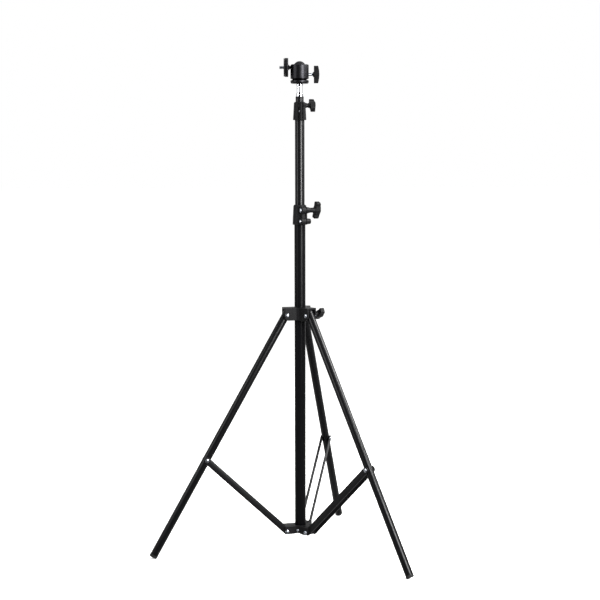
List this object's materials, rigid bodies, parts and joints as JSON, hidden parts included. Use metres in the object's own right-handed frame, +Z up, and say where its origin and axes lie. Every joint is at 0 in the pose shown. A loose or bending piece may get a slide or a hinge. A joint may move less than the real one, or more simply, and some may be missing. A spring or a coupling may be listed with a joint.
{
  "type": "camera stand with ball head",
  "caption": "Collapsible tripod stand: telescopic column with clamp collars, folding braced legs on a sliding crown, and a small ball head with a camera screw.",
  "frame": {"origin": "on the column's axis at the level of the surface that the three feet stand on", "axes": "+Z up along the column; -Y is the side that the stand is seen from, and the head's stem points to -X"},
  "size_m": [0.5121, 0.5192, 0.9841],
  "materials": {
    "black_tube": "satin black coat",
    "black_plastic": "fine moulded texture",
    "black_anodised": "satin black anodised",
    "rubber": "matt",
    "zinc_steel": "bright zinc plated",
    "chrome": "polished",
    "nylon": "natural",
    "black_steel": "satin black coat"
  },
  "bodies": {
    "column": {"base_tube": "black_tube", "hub": "black_plastic", "hub_end_cap": "black_plastic", "hub_fixing_screw": "zinc_steel", "hub_rivet_right": "zinc_steel", "hub_rivet_rear": "zinc_steel", "hub_rivet_left": "zinc_steel", "lower_collar": "black_plastic", "lower_clamp_bolt": "zinc_steel", "lower_fixing_bolt": "zinc_steel"},
    "lower_knob": {"lower_knob": "black_plastic"},
    "crown": {"crown": "black_plastic", "crown_rivet_right": "zinc_steel", "crown_rivet_rear": "zinc_steel", "crown_rivet_left": "zinc_steel"},
    "crown_knob": {"crown_lock_screw": "zinc_steel", "crown_knob": "black_plastic"},
    "mid_section": {"mid_tube": "black_tube", "mid_tube_guide": "nylon", "upper_collar": "black_plastic", "upper_clamp_bolt": "black_steel", "upper_fixing_screw": "zinc_steel"},
    "upper_knob": {"upper_knob": "black_plastic"},
    "top_section": {"top_tube": "black_tube", "top_tube_guide": "nylon", "spigot": "chrome", "pan_base": "black_anodised"},
    "ball_head": {"ball_housing": "black_anodised", "ball_seat": "nylon"},
    "head_knob": {"head_lock_screw": "zinc_steel", "head_knob": "black_plastic"},
    "stem": {"ball_stem": "black_anodised", "camera_screw": "zinc_steel"},
    "wheel": {"lock_wheel": "black_anodised", "wheel_pad": "rubber"},
    "leg_right": {"leg_right_tube": "black_tube", "leg_right_plug": "black_plastic", "leg_right_foot": "rubber", "leg_right_brace_pin": "zinc_steel"},
    "brace_right": {"brace_right_a": "black_steel", "brace_right_b": "black_steel", "brace_right_rivet_a": "zinc_steel", "brace_right_rivet_b": "zinc_steel"},
    "leg_rear": {"leg_rear_tube": "black_tube", "leg_rear_plug": "black_plastic", "leg_rear_foot": "rubber", "leg_rear_brace_pin": "zinc_steel"},
    "brace_rear": {"brace_rear_a": "black_steel", "brace_rear_b": "black_steel", "brace_rear_rivet_a": "zinc_steel", "brace_rear_rivet_b": "zinc_steel"},
    "leg_left": {"leg_left_tube": "black_tube", "leg_left_plug": "black_plastic", "leg_left_foot": "rubber", "leg_left_brace_pin": "zinc_steel"},
    "brace_left": {"brace_left_a": "black_steel", "brace_left_b": "black_steel", "brace_left_rivet_a": "zinc_steel", "brace_left_rivet_b": "zinc_steel"}
  },
  "joints": [
    {"name": "fold", "type": "slide", "parent": "column", "child": "crown", "axis": [0, 0, 1], "range_m": [0, 0.11199]},
    {"name": "leg_right_hinge", "type": "hinge", "parent": "crown", "child": "leg_right", "pos_m": [0.01996, -0.02104, 0.478], "axis": [0.7254, 0.6884, 0], "range_deg": [0, 27]},
    {"name": "brace_right_hinge", "type": "hinge", "parent": "column", "child": "brace_right", "pos_m": [0.02099, -0.02212, 0.0418], "axis": [-0.7254, -0.6884, 0], "range_deg": [0, 43]},
    {"name": "leg_rear_hinge", "type": "hinge", "parent": "crown", "child": "leg_rear", "pos_m": [0.00824, 0.02781, 0.478], "axis": [-0.9588, 0.284, 0], "range_deg": [0, 27]},
    {"name": "brace_rear_hinge", "type": "hinge", "parent": "column", "child": "brace_rear", "pos_m": [0.00866, 0.02924, 0.0418], "axis": [0.9588, -0.284, 0], "range_deg": [0, 43]},
    {"name": "leg_left_hinge", "type": "hinge", "parent": "crown", "child": "leg_left", "pos_m": [-0.0282, -0.00677, 0.478], "axis": [0.2334, -0.9724, 0], "range_deg": [0, 27]},
    {"name": "brace_left_hinge", "type": "hinge", "parent": "column", "child": "brace_left", "pos_m": [-0.02966, -0.00712, 0.0418], "axis": [-0.2334, 0.9724, 0], "range_deg": [0, 43]},
    {"name": "crown_knob_turn", "type": "hinge", "parent": "crown", "child": "crown_knob", "pos_m": [0.02651, 0.01293, 0.478], "axis": [0.8988, 0.4384, 0], "range_deg": [0, 270]},
    {"name": "mid_section_slide", "type": "slide", "parent": "column", "child": "mid_section", "axis": [0, 0, 1], "range_m": [-0.158, 0.34]},
    {"name": "lower_knob_turn", "type": "hinge", "parent": "column", "child": "lower_knob", "pos_m": [0.0203, -0.00835, 0.6863], "axis": [0.8829, 0.4695, 0], "range_deg": [0, 270]},
    {"name": "top_section_slide", "type": "slide", "parent": "mid_section", "child": "top_section", "axis": [0, 0, 1], "range_m": [-0.0097, 0.48]},
    {"name": "upper_knob_turn", "type": "hinge", "parent": "mid_section", "child": "upper_knob", "pos_m": [0.01652, -0.01333, 0.8913], "axis": [0.9903, 0.1392, 0], "range_deg": [0, 270]},
    {"name": "head_pan", "type": "hinge", "parent": "top_section", "child": "ball_head", "pos_m": [0, 0, 0.9657], "axis": [0, 0, 1], "continuous": true},
    {"name": "head_tilt", "type": "hinge", "parent": "ball_head", "child": "stem", "pos_m": [0, 0, 0.9657], "axis": [0, 1, 0], "range_deg": [0, 125]},
    {"name": "head_knob_turn", "type": "hinge", "parent": "ball_head", "child": "head_knob", "pos_m": [0, 0, 0.9519], "axis": [1, 0, 0], "range_deg": [0, 270]},
    {"name": "wheel_turn", "type": "hinge", "parent": "stem", "child": "wheel", "pos_m": [0, 0, 0.9657], "axis": [-1, 0, 0], "continuous": true}
  ],
  "couplings": [
    {"joint": "leg_right_hinge", "follows": "fold", "rad_per_m": 4.1689},
    {"joint": "brace_right_hinge", "follows": "fold", "rad_per_m": 6.6599},
    {"joint": "leg_rear_hinge", "follows": "fold", "rad_per_m": 4.1689},
    {"joint": "brace_rear_hinge", "follows": "fold", "rad_per_m": 6.6599},
    {"joint": "leg_left_hinge", "follows": "fold", "rad_per_m": 4.1689},
    {"joint": "brace_left_hinge", "follows": "fold", "rad_per_m": 6.6599}
  ]
}
